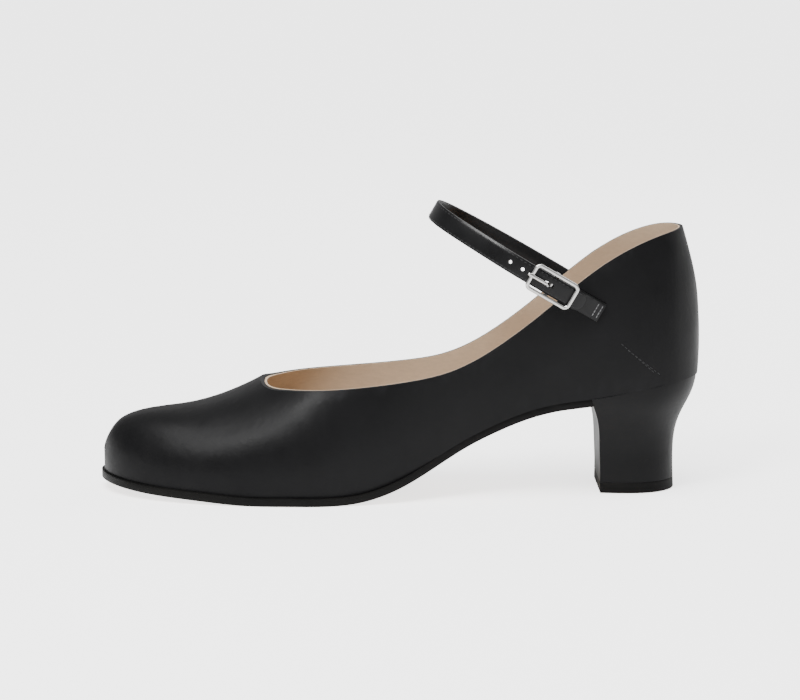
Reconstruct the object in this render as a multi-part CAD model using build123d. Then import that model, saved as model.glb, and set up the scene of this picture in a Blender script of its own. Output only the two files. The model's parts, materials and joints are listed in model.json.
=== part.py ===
from build123d import *
import math
import os

os.makedirs("parts", exist_ok=True)

# Left shoe. Millimetres. +X to the toe, +Y to the wearer's left (outer side), +Z up.
# Origin: centre of the ground face of the heel.

# ---- overall sizes -------------------------------------------------------------------
TOE_X = 223.4            # front end of the upper
BACK_X = -24.0           # back end of the upper at the heel seat
BULGE = 2.0              # how far the counter bulges behind the seat
WIDTH = 1.0              # scale on every plan width
LENGTH = 1.0             # scale on every plan length ahead of the heel breast
SOLE_T = 3.2             # outsole thickness
SOLE_EDGE = 1.0          # outsole edge standing out past the upper
LASTED_T = 1.4           # layer of turned-under upper, filler and shank
BOARD_T = 2.0            # insole board
SOCK_T = 1.4             # sock lining
PAD_T = 0.8              # heel pad let into the sock lining
LINING_T = 0.8           # upper lining
STIFF_T = 0.8            # toe puff and heel counter
LEATHER_T = 1.0          # upper leather outside the stiffeners
WALL = LINING_T + STIFF_T + LEATHER_T

# underside of the outsole in side view (x, z): seat, waist, ball, toe spring
SOLE_LINE = [(-40, 48.3), (-24, 45.9), (0, 42.0), (20, 38.4), (34, 36.4), (48, 32.6), (60, 27.6),
             (71, 22.2), (80, 17.0), (89, 11.6), (98, 6.8), (108, 2.9), (117, 0.8), (126, 0.0),
             (145, 0.0), (164, 0.0), (181, 1.2), (204, 2.6), (222, 4.2), (240, 6.4)]
# crest of the upper in side view; behind the throat it only shapes the lean of the quarters
CREST = [(-26, 150), (20, 150), (50, 141), (80, 122), (100, 100), (120, 78), (140, 59), (152, 49.6),
         (163, 43.6), (175, 38.6), (186, 35.6), (204, 33.2), (213, 30.8), (218, 27.4),
         (222, 21.0), (223.4, 15.5)]
# plan half widths of the upper, outer side and inner side
OUTER_W = [(-40, 27.6), (0, 27.6), (20, 27.4), (45, 26.6), (70, 27.6), (95, 32.6), (120, 38.0),
           (138, 40.0), (155, 39.0), (172, 36.4), (190, 33.6), (224, 30.0)]
INNER_W = [(-40, 27.6), (0, 27.6), (20, 26.6), (45, 23.6), (70, 23.2), (95, 27.6), (120, 34.0),
           (142, 38.4), (160, 38.6), (176, 37.4), (190, 36.0), (224, 34.0)]
TOE_Y = -5.0             # the toe point lies a little to the inner side
TOE_ROUND_X = 168.0      # the toe starts to round here
TOE_POWER = 2.35
HEEL_ROUND_X = 4.0       # the heel starts to round here
# top edge of the opening in side view
TOPLINE = [(166, 92), (162.4, 62), (160.6, 50), (157, 46.2), (148, 45.2), (134, 46.0), (116, 47.4),
           (95, 49.8), (80, 52.9), (67, 58.6), (55, 66.3), (42, 76.2), (29, 87.0), (14, 98.2),
           (0, 105.6), (-12, 109.4), (-24, 110.6), (-40, 110.6)]

PUFF_X = 190.0           # toe puff runs from here to the toe
COUNTER_X = 46.0         # heel counter runs from the back to here
COUNTER_DROP = 14.0      # below the top edge

# ---- sole, heel and fasteners ----------------------------------------------------------
GROOVE_PITCH = 3.0
GROOVE_W = 0.9
GROOVE_DEPTH = 0.4
GROOVE_FROM = 112.0
GROOVE_TO = 219.0
FILLER_INSET = 13.0
SHANK_W = 12.0
SHANK_FROM = -9.0
SHANK_TO = 104.0
TOP_PIECE_T = 4.6
TOP_PIECE_HOLE_R = 1.9
TOP_PIECE_HOLE_X = 3.2
COVER_T = 0.8
SEAT_X = 19.6            # the outsole narrows here and runs on hidden under the heel seat
SEAT_INSET = 2.2
WAIST_IN = 2.6           # the outsole edge draws in this much under the waist
WAIST_FROM = 72.0        # full draw up to here, none from WAIST_TO on
WAIST_TO = 104.0
# heel sections going up: height, breast x, back x, half width
HEEL = [(0.0, 16.0, -16.0, 17.0), (5.0, 16.0, -15.8, 16.8), (14.0, 16.2, -15.6, 16.5),
        (24.0, 16.6, -16.3, 17.3), (31.0, 17.5, -18.3, 20.2), (37.0, 19.3, -21.2, 23.8),
        (43.0, 20.9, -23.8, 26.2), (52.0, 22.6, -25.2, 26.8)]
NAIL_R = 0.9
NAIL_HEAD_R = 2.0
NAIL_HEAD_T = 0.8
NAIL_L = 17.0
HEAD_SUNK = 0.25         # heads lie this far under the top of the insole board
NAIL_SPOTS = [(12.0, 11.5), (12.0, -11.5), (-3.0, 11.5), (-3.0, -11.5), (-7.5, 0.0)]
SCREW_R = 2.1
SCREW_HEAD_R = 4.0
SCREW_HEAD_T = 1.6
SCREW_L = 27.0
SCREW_X = 2.0
SLOT_W = 1.1
TACK_R = 0.6
TACK_HEAD_R = 1.1
TACK_HEAD_T = 0.6
TACK_L = 11.0
TACK_SUNK = 0.3
TACK_SPOTS = [(TOP_PIECE_HOLE_X - 2.8, 5.1), (TOP_PIECE_HOLE_X - 2.8, -5.1), (TOP_PIECE_HOLE_X + 4.2, 4.9),
              (TOP_PIECE_HOLE_X + 4.2, -4.9), (TOP_PIECE_HOLE_X + 4.4, 9.0), (TOP_PIECE_HOLE_X + 4.4, -9.0)]

# ---- strap and buckle --------------------------------------------------------------------
STRAP_ANGLE = 30.2       # rise of the strap loop towards the instep, degrees
STRAP_X = 19.5           # where the strap and the chape are sewn on
STRAP_Z = 79.0
STRAP_REACH = 74.0       # from the sewn ends to the top of the instep
STRAP_BULGE = 3.8        # the loop is this much wider than the quarters
STRAP_W = 8.0            # strap width
STRAP_TAIL = 2.5         # sewn length at each end
LOOP_POWER = 2.7         # squareness of the loop
STRAP_LEATHER_T = 1.1
STRAP_LINING_T = 0.9
CHAPE_T = 1.9
GAP = 0.3                # clearance over the upper
BAR_R = 0.8              # radius of the centre bar of the buckle
BAR_FIT = 0.08
LOOP_T = 0.9
BUCKLE_U = 21.6          # centre bar, measured along the loop from the sewn end
BUCKLE_L = 20.8
RAIL_W = 1.6
RAIL_T = 1.5
RAIL_CLEAR = 0.35
TIP_PAST = 5.0           # strap tip past the rear bar
PRONG_R = 0.7
PRONG_FIT = 0.15
PRONG_SLOT = 2.6         # gap in the chape loop for the prong
SLOT_CLEAR = 0.3
PUNCH_R = 1.0
PUNCH_PITCH = 6.0

PAD_TO = 34.0            # front of the heel pad
PAD_INSET = 5.0          # from the lining to the edge of the pad
FAR = 300.0


def ahead(x):
    """A plan length, stretched where it lies ahead of the heel breast."""
    return x if x < SEAT_X else SEAT_X + (x - SEAT_X) * LENGTH


TOE_X = ahead(TOE_X)
TOE_ROUND_X = ahead(TOE_ROUND_X)
PUFF_X = ahead(PUFF_X)
COUNTER_X = ahead(COUNTER_X)
SHANK_TO = ahead(SHANK_TO)
WAIST_FROM = ahead(WAIST_FROM)
WAIST_TO = ahead(WAIST_TO)
GROOVE_FROM = ahead(GROOVE_FROM)
GROOVE_TO = ahead(GROOVE_TO)
SOLE_LINE = [(ahead(x), z) for x, z in SOLE_LINE]
CREST = [(ahead(x), z) for x, z in CREST]
OUTER_W = [(ahead(x), w) for x, w in OUTER_W]
INNER_W = [(ahead(x), w) for x, w in INNER_W]
TOPLINE = [(ahead(x), z) for x, z in TOPLINE]


# ---- helpers -----------------------------------------------------------------------------
def along(table, x):
    """Smooth value at x from a table of (x, value)."""
    xs = [p[0] for p in table]
    ys = [p[1] for p in table]
    x = min(max(x, xs[0]), xs[-1])
    i = max(j for j in range(len(xs) - 1) if xs[j] <= x)

    def slope(j):
        a = max(j - 1, 0)
        b = min(j + 1, len(xs) - 1)
        return (ys[b] - ys[a]) / (xs[b] - xs[a])

    h = xs[i + 1] - xs[i]
    t = (x - xs[i]) / h
    m0 = slope(i) * h
    m1 = slope(i + 1) * h
    return ((2 * t**3 - 3 * t**2 + 1) * ys[i] + (t**3 - 2 * t**2 + t) * m0
            + (-2 * t**3 + 3 * t**2) * ys[i + 1] + (t**3 - t**2) * m1)


def sole_points(offset):
    """The sole line shifted up by an offset, square to itself."""
    points = []
    for x, z in SOLE_LINE:
        pitch = math.atan((along(SOLE_LINE, x + 1) - along(SOLE_LINE, x - 1)) / 2)
        points.append((x - offset * math.sin(pitch), 0, z + offset * math.cos(pitch)))
    return points


def sole_z(x, offset):
    """Height of the shifted sole line at x."""
    return along([(p[0], p[2]) for p in sole_points(offset)], x)


def side_solid(lower, upper):
    """Solid across the whole shoe between two curves of the side view."""
    edges = [Edge.make_spline(lower), Edge.make_line(lower[-1], upper[-1]),
             Edge.make_spline(upper), Edge.make_line(upper[0], lower[0])]
    face = Face(Wire(edges))
    return Solid.extrude(face, (0, 2 * FAR, 0)).moved(Location((0, -FAR, 0)))


def layer(low, high):
    """Layer between two heights over the sole line."""
    return side_solid(sole_points(low), sole_points(high))


def above(low):
    """Everything over a height above the sole line."""
    points = sole_points(low)
    top = [(x, 0, FAR) for x, y, z in points]
    return side_solid(points, top)


def half_width(x, side, offset):
    """Plan outline of the upper at x, moved outwards by the offset."""
    table = OUTER_W if side > 0 else INNER_W
    reach = side * WIDTH * along(table, x) + side * offset
    toe = TOE_X + offset
    back = BACK_X - offset
    if x > TOE_ROUND_X:
        share = max(0.0, 1 - ((x - TOE_ROUND_X) / (toe - TOE_ROUND_X)) ** TOE_POWER)
        return TOE_Y + (reach - TOE_Y) * math.sqrt(share)
    if x < HEEL_ROUND_X:
        share = max(0.0, 1 - ((HEEL_ROUND_X - x) / (HEEL_ROUND_X - back)) ** 2)
        return reach * math.sqrt(share)
    return reach


def ease(t):
    """Smooth step from 0 to 1."""
    t = min(max(t, 0.0), 1.0)
    return t * t * (3 - 2 * t)


def plan_solid(offset, x_from=-FAR, x_to=FAR, waist_in=0.0):
    """Upright solid over the plan outline moved outwards by the offset, drawn in at the waist."""
    def edge_y(x, side):
        drawn = 0.0 if x < HEEL_ROUND_X else waist_in * ease((WAIST_TO - x) / (WAIST_TO - WAIST_FROM))
        return half_width(x, side, offset - drawn)

    toe = TOE_X + offset
    back = BACK_X - offset
    stops = [HEEL_ROUND_X - (HEEL_ROUND_X - back) * math.sin(math.radians(a)) for a in range(75, 0, -15)]
    stops += [ahead(HEEL_ROUND_X + 16 * i) for i in range(11)]
    stops += [TOE_ROUND_X + (toe - TOE_ROUND_X) * math.sin(math.radians(a)) for a in range(12, 84, 12)]
    outer = [(x, edge_y(x, 1), 0) for x in stops]
    inner = [(x, edge_y(x, -1), 0) for x in reversed(stops)]
    ring = outer + [(toe, TOE_Y, 0)] + inner + [(back, 0, 0)]
    face = Face(Wire([Edge.make_spline(ring, periodic=True)]))
    solid = Solid.extrude(face, (0, 0, FAR)).moved(Location((0, 0, -FAR / 3)))
    return solid & Pos((x_from + x_to) / 2, 0, 0) * Box(x_to - x_from, FAR, 3 * FAR)


def arch(x, z_low, z_high, outer, inner, power):
    """Closed section of the foot shape: an arch on a flat base."""
    feather = sole_z(x, SOLE_T)
    points = []
    for i in range(15):
        a = math.pi * i / 14
        c = math.cos(a)
        width = outer if c > 0 else inner
        y = width * math.copysign(abs(c) ** (2 / power), c)
        z = z_low + (z_high - z_low) * math.sin(a) ** (2 / power)
        tuck = 1 - 0.045 * math.exp(-((z - feather) / 9.0) ** 2)
        points.append((x, y * tuck, z))
    return Wire([Edge.make_spline(points), Edge.make_line(points[-1], points[0])])


# heel end sections: angle round the heel, how far the base is lifted, height of the crest
HEEL_ENDS = [(84, 14.0, 71.0), (74, 5.0, 84.0), (60, 0.5, 98.0), (44, 0.0, 116.0), (24, 0.0, 139.0)]


def last(inset):
    """Solid of the foot shape, the outside of the upper moved inwards by the inset."""
    sections = []
    pole = BACK_X - BULGE + inset
    for angle, lift, top in HEEL_ENDS:
        x = HEEL_ROUND_X - (HEEL_ROUND_X - pole) * math.sin(math.radians(angle))
        w = math.cos(math.radians(angle))
        low = sole_z(x, SOLE_T) - 4 + lift
        outer = w * (WIDTH * along(OUTER_W, x) - inset)
        inner = -w * (WIDTH * along(INNER_W, x) - inset)
        sections.append(arch(x, low, top, outer, -inner, 2.1))
    for x in (HEEL_ROUND_X, 22, 40, 58, 76, 94, 112, 130, 148):
        sections.append(section(ahead(x), inset))
    sections.append(section(TOE_ROUND_X, inset))
    toe = TOE_X - inset
    for angle in (20, 36, 50, 62, 72, 79, 84):
        sections.append(section(TOE_ROUND_X + (toe - TOE_ROUND_X) * math.sin(math.radians(angle)), inset))
    return Solid.make_loft(sections)


def section(x, inset):
    """Section of the foot shape from the heel to the toe."""
    toe = TOE_X - inset
    t = max(0.0, (x - TOE_ROUND_X) / (toe - TOE_ROUND_X))
    top = along(CREST, x + inset * t**4) - 1.08 * inset
    low = sole_z(x, SOLE_T) - 4 + 3.0 * t**6
    power = 2.1 + 0.3 * min(1.0, max(0.0, (x - 60) / 80))
    return arch(x, low, top, half_width(x, 1, -inset), -half_width(x, -1, -inset), power)


def save(name, shape):
    export_step(shape, "parts/" + name + ".step")


# ---- layers over the sole line -------------------------------------------------------------
LASTED = SOLE_T + LASTED_T
BOARD_TOP = LASTED + BOARD_T
SOCK_TOP = BOARD_TOP + SOCK_T

skin = last(0)
under_leather = last(LEATHER_T)
liner = last(LEATHER_T + STIFF_T)
cavity = last(WALL)
over_sole = above(SOLE_T)
over_lasted = above(LASTED)
topline = [(x, 0, z) for x, z in reversed(TOPLINE)]
opening = side_solid(topline, [(x, 0, FAR) for x, y, z in topline])
low_topline = [(x, 0, z - COUNTER_DROP) for x, y, z in topline]
high = side_solid(low_topline, [(x, 0, FAR) for x, y, z in topline])

# ---- fasteners of the heel, laid square to the seat ------------------------------------------
SEAT_PITCH = math.degrees(math.atan((sole_z(-12, BOARD_TOP) - sole_z(12, BOARD_TOP)) / 24))


def seat_place(x, y):
    """Place on the top of the insole board at the heel, z square to the board."""
    return Location((x, y, sole_z(x, BOARD_TOP) - HEAD_SUNK), (0, SEAT_PITCH, 0))


def pin(r, length, head_r, head_t, over=0.0):
    """Headed pin hanging down from z = 0; over lengthens the head upwards."""
    head = Pos(0, 0, -head_t) * Cylinder(head_r, head_t + over, align=(Align.CENTER, Align.CENTER, Align.MIN))
    shaft = Pos(0, 0, -length) * Cylinder(r, length - head_t, align=(Align.CENTER, Align.CENTER, Align.MIN))
    return head + shaft


heel_nails = Compound([seat_place(x, y) * pin(NAIL_R, NAIL_L, NAIL_HEAD_R, NAIL_HEAD_T) for x, y in NAIL_SPOTS])
screw_slot = Box(2 * SCREW_HEAD_R, SLOT_W, SCREW_HEAD_T)
heel_screw = seat_place(SCREW_X, 0) * (pin(SCREW_R, SCREW_L, SCREW_HEAD_R, SCREW_HEAD_T) - screw_slot)
bores = [seat_place(x, y) * pin(NAIL_R, NAIL_L, NAIL_HEAD_R, NAIL_HEAD_T, 1.0) for x, y in NAIL_SPOTS]
bores.append(seat_place(SCREW_X, 0) * pin(SCREW_R, SCREW_L, SCREW_HEAD_R, SCREW_HEAD_T, 1.0))

# ---- upper, stiffeners and lining ---------------------------------------------------------------
stiff_layer = ((under_leather - liner) & over_lasted) - opening
toe_zone = Pos(PUFF_X + FAR / 2, 0, 0) * Box(FAR, FAR, 2 * FAR)
counter_zone = Pos(COUNTER_X - FAR / 2, 0, 0) * Box(FAR, FAR, 2 * FAR) - high
toe_puff = stiff_layer & toe_zone
heel_counter = stiff_layer & counter_zone
filler_core = plan_solid(-FILLER_INSET)
lasted_layer = layer(SOLE_T, LASTED)
upper = (skin & over_sole) - opening - (filler_core & layer(SOLE_T - 1, LASTED + 1))
upper = upper - (under_leather & over_lasted & toe_zone) - (under_leather & over_lasted & counter_zone)
upper = upper - (liner & over_lasted)
lining = (liner & over_lasted) - cavity - opening

insole_board = cavity & layer(LASTED, BOARD_TOP)
pad_zone = plan_solid(-WALL - PAD_INSET, BACK_X, PAD_TO)
heel_pad = pad_zone & layer(BOARD_TOP, BOARD_TOP + PAD_T)
sock_lining = (cavity & layer(BOARD_TOP, SOCK_TOP)) - heel_pad

shank_zone = Pos((SHANK_FROM + SHANK_TO) / 2, 0, 0) * Box(SHANK_TO - SHANK_FROM, SHANK_W, FAR)
shank = filler_core & lasted_layer & shank_zone
bottom_filler = (filler_core & lasted_layer) - shank
tread = plan_solid(SOLE_EDGE, SEAT_X, FAR, WAIST_IN) + plan_solid(-SEAT_INSET, -FAR, SEAT_X)
outsole = tread & layer(0, SOLE_T)

# ---- grooves across the tread --------------------------------------------------------------------
grooves = []
x = GROOVE_FROM
while x < GROOVE_TO:
    grooves.append(Pos(x, 0, sole_z(x, 0) + GROOVE_DEPTH - 10) * Box(GROOVE_W, FAR, 20))
    x += GROOVE_PITCH
outsole = outsole - (plan_solid(SOLE_EDGE - 3.0) & Compound(grooves))


# ---- heel ------------------------------------------------------------------------------------------
def heel_solid(inset):
    """Heel shape, a D with a flat breast, moved inwards by the inset."""
    rings = []
    for z, front, back, w in HEEL:
        front -= inset
        back += inset
        w = WIDTH * w - inset
        mid = front - 0.42 * (front - back)
        corner = 0.93 + 0.10 * (z / 40) ** 2
        points = [(front, corner * w, z), ((front + mid) / 2, (1 + corner) / 2 * 1.02 * w, z)]
        points += [(mid - (mid - back) * math.sin(math.radians(a)), w * math.cos(math.radians(a)), z)
                   for a in range(0, 181, 20)]
        points += [((front + mid) / 2, -(1 + corner) / 2 * 1.02 * w, z), (front, -corner * w, z)]
        rings.append(Wire([Edge.make_spline(points), Edge.make_line(points[-1], points[0])]))
    return Solid.make_loft(rings)


ground_block = Box(FAR, FAR, 2 * TOP_PIECE_T)
heel_outer = heel_solid(0)
heel_core = heel_solid(COVER_T)
heel_body = heel_outer - over_sole - outsole - ground_block
heel_cover = heel_body - heel_core
heel_block = heel_body & heel_core
top_piece = heel_outer & ground_block
dowel_hole = Pos(TOP_PIECE_HOLE_X, 0, 0) * Cylinder(TOP_PIECE_HOLE_R, 4 * TOP_PIECE_T)
tacks = []
tack_bores = []
for x, y in TACK_SPOTS:
    turn = Location((x, y, TACK_SUNK), (180, 0, 0))
    tacks.append(turn * pin(TACK_R, TACK_L, TACK_HEAD_R, TACK_HEAD_T))
    tack_bores.append(turn * pin(TACK_R, TACK_L, TACK_HEAD_R, TACK_HEAD_T, 1.0))
top_piece_nails = Compound(tacks)
top_piece = top_piece - dowel_hole - Compound(tack_bores)
heel_block = heel_block - dowel_hole - Compound(tack_bores)
for bore in bores:
    heel_block = heel_block - bore
    outsole = outsole - bore
    shank = shank - bore
    bottom_filler = bottom_filler - bore
    insole_board = insole_board - bore

save("upper", upper)
save("toe_puff", toe_puff)
save("heel_counter", heel_counter)
save("lining", lining)
save("insole_board", insole_board)
save("heel_pad", heel_pad)
save("sock_lining", sock_lining)
save("shank", shank)
save("bottom_filler", bottom_filler)
save("outsole", outsole)
save("heel_cover", heel_cover)
save("heel_block", heel_block)
save("top_piece", top_piece)
save("top_piece_nails", top_piece_nails)
save("heel_nails", heel_nails)
save("heel_screw", heel_screw)


# ---- strap loop --------------------------------------------------------------------------------------
RISE = math.radians(STRAP_ANGLE)
loop_plane = Plane(origin=(STRAP_X, 0, STRAP_Z), x_dir=(math.cos(RISE), 0, math.sin(RISE)),
                   z_dir=(-math.sin(RISE), 0, math.cos(RISE)))


def wall_y(x, z, side):
    """Distance of the outside of the quarter from the middle plane."""
    low = sole_z(x, SOLE_T) - 4
    rise = (z - low) / (along(CREST, x) - low)
    return abs(half_width(x, side, 0)) * (1 - rise**2.1) ** (1 / 2.1)


def seat_y(side):
    """Where the inner face of a strap end lies over the quarter."""
    x = STRAP_X - STRAP_TAIL * math.cos(RISE) + STRAP_W / 2 * math.sin(RISE)
    z = STRAP_Z - STRAP_TAIL * math.sin(RISE) - STRAP_W / 2 * math.cos(RISE)
    return wall_y(x, z, side) + GAP


def loop_points():
    """Inner face of the loop in the loop plane, from the outer sewn end to the inner one."""
    points = []
    for i in range(241):
        a = math.pi * i / 240
        side = 1 if i <= 120 else -1
        u = STRAP_REACH * math.sin(a) ** (2 / LOOP_POWER)
        swell = STRAP_BULGE * (1 - (1 - min(u, 45) / 45) ** 2)
        points.append((u, side * (seat_y(side) + swell) * abs(math.cos(a)) ** (2 / LOOP_POWER)))
    first = points[0]
    final = points[-1]
    tail = [(STRAP_TAIL * (i / 5 - 1), 0) for i in range(5)]
    return ([(u, first[1]) for u, v in tail] + points + [(u, final[1]) for u, v in reversed(tail)])


LOOP = loop_points()
RUN = [0.0]
for p, q in zip(LOOP, LOOP[1:]):
    RUN.append(RUN[-1] + math.hypot(q[0] - p[0], q[1] - p[1]))
LOOP_LENGTH = RUN[-1]


def loop_at(s):
    """Point and outward direction of the loop at a run of s from the outer end."""
    s = min(max(s, 0.0), LOOP_LENGTH)
    i = max(j for j in range(len(RUN) - 1) if RUN[j] <= s)
    p = LOOP[i]
    q = LOOP[i + 1]
    t = (s - RUN[i]) / (RUN[i + 1] - RUN[i])
    a = LOOP[max(i - 6, 0)]
    b = LOOP[min(i + 7, len(LOOP) - 1)]
    d = math.hypot(b[0] - a[0], b[1] - a[1])
    return (p[0] + t * (q[0] - p[0]), p[1] + t * (q[1] - p[1])), (-(b[1] - a[1]) / d, (b[0] - a[0]) / d)


def ribbon(s_from, s_to, low, high):
    """Band of the strap width along the loop, between two heights over its inner face."""
    count = max(6, int((s_to - s_from) / 6))
    inside = []
    outside = []
    for i in range(count + 1):
        s = s_from + (s_to - s_from) * i / count
        (u, v), (nu, nv) = loop_at(s)
        inside.append((u + nu * low(s), v + nv * low(s)))
        outside.append((u + nu * high(s), v + nv * high(s)))
    outside.reverse()
    edges = [Edge.make_spline(inside), Edge.make_line(inside[-1], outside[0]),
             Edge.make_spline(outside), Edge.make_line(outside[-1], inside[0])]
    band = Solid.extrude(Face(Wire(edges)), (0, 0, STRAP_W)).moved(Location((0, 0, -STRAP_W / 2)))
    return loop_plane.location * band


# heights over the inner face of the loop, at the buckle
LOOP_R = BAR_R + BAR_FIT + LOOP_T
BAR_H = LOOP_R
STRAP_H = 2 * LOOP_R + 0.1
STRAP_T = STRAP_LEATHER_T + STRAP_LINING_T
FRAME_H = STRAP_H + STRAP_T + 0.15
BAR_S = BUCKLE_U + STRAP_TAIL
TIP_S = BAR_S - BUCKLE_L / 2 - TIP_PAST


def strap_low(s):
    """Height of the strap's inner face: over the chape, over the bar, down onto the instep."""
    tip = CHAPE_T + 0.2
    up = ease((s - TIP_S - 2) / (TIP_PAST - 1))
    down = ease((s - BAR_S - BUCKLE_L / 2 - 1) / 30)
    return (tip + (STRAP_H - tip) * up) * (1 - down)


strap_lining = ribbon(TIP_S, LOOP_LENGTH, strap_low, lambda s: strap_low(s) + STRAP_LINING_T)
strap_leather = ribbon(TIP_S, LOOP_LENGTH, lambda s: strap_low(s) + STRAP_LINING_T, lambda s: strap_low(s) + STRAP_T)
chape = ribbon(0.0, BAR_S, lambda s: 0.0, lambda s: CHAPE_T)

# frame of the buckle: x along the strap to the toe, y up across it, z outwards
(bu, bv), (bnu, bnv) = loop_at(BAR_S)
centre = loop_plane.from_local_coords(Vector(bu, bv, 0))
normal = (loop_plane.from_local_coords(Vector(bnu, bnv, 0)) - loop_plane.origin)
forward = (loop_plane.from_local_coords(Vector(bnv, -bnu, 0)) - loop_plane.origin)
buckle = Plane(origin=centre, x_dir=forward, z_dir=normal).location

FRAME_W = STRAP_W + 2 * (RAIL_CLEAR + RAIL_W)
outline = RectangleRounded(BUCKLE_L, FRAME_W, 2.6)
window = RectangleRounded(BUCKLE_L - 2 * RAIL_W, FRAME_W - 2 * RAIL_W, 1.2)
frame = Pos(0, 0, FRAME_H) * extrude(outline - window, RAIL_T)
frame = chamfer(frame.faces().sort_by(Axis.Z)[-1].edges(), 0.4)
lug_y = FRAME_W / 2 - RAIL_W / 2
lug_t = FRAME_H + 0.5 - BAR_H + BAR_R
for side in (1, -1):
    frame += Pos(0, side * lug_y, BAR_H - BAR_R + lug_t / 2) * Box(2.4, RAIL_W, lug_t)
frame += Pos(0, 0, BAR_H) * Rot(90, 0, 0) * Cylinder(BAR_R, 2 * lug_y)
bar_cylinder = Pos(0, 0, BAR_H) * Rot(90, 0, 0) * Cylinder(BAR_R + BAR_FIT, FRAME_W)
eye = Pos(0, 0, BAR_H) * Rot(90, 0, 0) * Cylinder(LOOP_R, STRAP_W)
prong_gap = Box(4 * LOOP_R, PRONG_SLOT, 8 * LOOP_R)
chape = chape + buckle * eye - buckle * bar_cylinder - buckle * prong_gap

ring = Cylinder(BAR_R + PRONG_FIT + PRONG_R, PRONG_SLOT - 1.0)
prong = Pos(0, 0, BAR_H) * Rot(90, 0, 0) * ring
prong_z = FRAME_H + RAIL_T + PRONG_R
stops = [(0.9, BAR_H + BAR_R + PRONG_FIT + 0.25), (3.0, prong_z - 0.05), (BUCKLE_L / 2 + 0.6, prong_z + 0.08)]
for (xa, za), (xb, zb) in zip(stops, stops[1:]):
    span = math.hypot(xb - xa, zb - za)
    tilt = math.degrees(math.atan2(xb - xa, zb - za))
    prong += Location((xa, 0, za), (0, tilt, 0)) * Cylinder(PRONG_R, span, align=(Align.CENTER, Align.CENTER, Align.MIN))
for xa, za in stops[1:]:
    prong += Pos(xa, 0, za) * Sphere(PRONG_R)
prong = prong - Pos(0, 0, BAR_H) * Rot(90, 0, 0) * Cylinder(BAR_R + PRONG_FIT, 4)

slot_w = 2 * (PRONG_R + SLOT_CLEAR)
slot = Pos(2.1, 0, 10) * extrude(SlotOverall(5.0, slot_w), -20)
strap_cuts = [buckle * slot]
for i in (1, 2):
    (hu, hv), (hnu, hnv) = loop_at(BAR_S + BUCKLE_L / 2 + PUNCH_PITCH * i - 2)
    spot = loop_plane.from_local_coords(Vector(hu, hv, 0))
    aim = loop_plane.from_local_coords(Vector(hnu, hnv, 0)) - loop_plane.origin
    strap_cuts.append(Plane(origin=spot, z_dir=aim).location * Cylinder(PUNCH_R, 20))
(tu, tv), (tnu, tnv) = loop_at(TIP_S)
tip_spot = loop_plane.from_local_coords(Vector(tu, tv, 0))
tip_aim = loop_plane.from_local_coords(Vector(tnu, tnv, 0)) - loop_plane.origin
tip_run = loop_plane.from_local_coords(Vector(tnv, -tnu, 0)) - loop_plane.origin
tip_place = Plane(origin=tip_spot, x_dir=tip_run, z_dir=tip_aim).location
half = STRAP_W / 2
strap_cuts.append(tip_place * (Pos(half / 2 - 5, 0, 0) * Box(half + 10, 2 * STRAP_W, 16)
                               - Pos(half, 0, 0) * Cylinder(half, 20)))
for cut in strap_cuts:
    strap_leather = strap_leather - cut
    strap_lining = strap_lining - cut

save("strap_leather", strap_leather)
save("strap_lining", strap_lining)
save("chape", chape)
save("buckle_frame", buckle * frame)
save("buckle_prong", buckle * prong)
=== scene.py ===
# Black leather character shoe, left foot. +X to the toe, +Y to the outer side, +Z up, metres.
import bpy
import bmesh
import json
import math
from mathutils import Matrix, Vector
from mathutils.bvhtree import BVHTree

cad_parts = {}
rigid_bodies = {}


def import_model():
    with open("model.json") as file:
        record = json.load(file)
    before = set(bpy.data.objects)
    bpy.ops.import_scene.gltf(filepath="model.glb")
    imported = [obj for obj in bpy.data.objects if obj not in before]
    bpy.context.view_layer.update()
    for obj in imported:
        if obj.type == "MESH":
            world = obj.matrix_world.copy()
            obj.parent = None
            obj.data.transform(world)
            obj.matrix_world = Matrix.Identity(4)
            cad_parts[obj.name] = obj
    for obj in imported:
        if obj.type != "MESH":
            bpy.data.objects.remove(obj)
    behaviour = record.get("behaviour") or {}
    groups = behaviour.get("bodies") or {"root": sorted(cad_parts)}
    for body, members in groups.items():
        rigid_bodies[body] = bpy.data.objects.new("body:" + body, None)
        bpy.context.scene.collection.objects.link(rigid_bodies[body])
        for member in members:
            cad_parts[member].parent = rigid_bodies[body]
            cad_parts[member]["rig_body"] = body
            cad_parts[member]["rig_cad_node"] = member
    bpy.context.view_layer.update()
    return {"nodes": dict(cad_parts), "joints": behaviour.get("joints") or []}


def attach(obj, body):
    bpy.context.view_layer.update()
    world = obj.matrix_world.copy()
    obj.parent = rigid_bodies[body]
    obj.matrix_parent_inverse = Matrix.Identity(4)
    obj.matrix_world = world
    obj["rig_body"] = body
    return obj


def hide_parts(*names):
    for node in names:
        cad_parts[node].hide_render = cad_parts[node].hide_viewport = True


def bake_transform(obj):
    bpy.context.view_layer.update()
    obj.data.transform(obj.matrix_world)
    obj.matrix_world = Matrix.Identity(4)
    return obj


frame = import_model()
nodes = frame["nodes"]
mm = 0.001


# ---- small helpers ------------------------------------------------------------------------
def drop_selection():
    if bpy.context.object and bpy.context.object.mode != "OBJECT":
        bpy.ops.object.mode_set(mode="OBJECT")
    bpy.ops.object.select_all(action="DESELECT")


def pick(obj):
    drop_selection()
    obj.select_set(True)
    bpy.context.view_layer.objects.active = obj


def settle(obj):
    """Put the object's place into its mesh."""
    pick(obj)
    bpy.ops.object.transform_apply(location=True, rotation=True, scale=True)


def finish_piece(obj, body, material, smooth=None):
    obj.data.materials.clear()
    obj.data.materials.append(material)
    if smooth is not None:
        pick(obj)
        bpy.ops.object.shade_smooth_by_angle(angle=math.radians(smooth))
    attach(obj, body)


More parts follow.
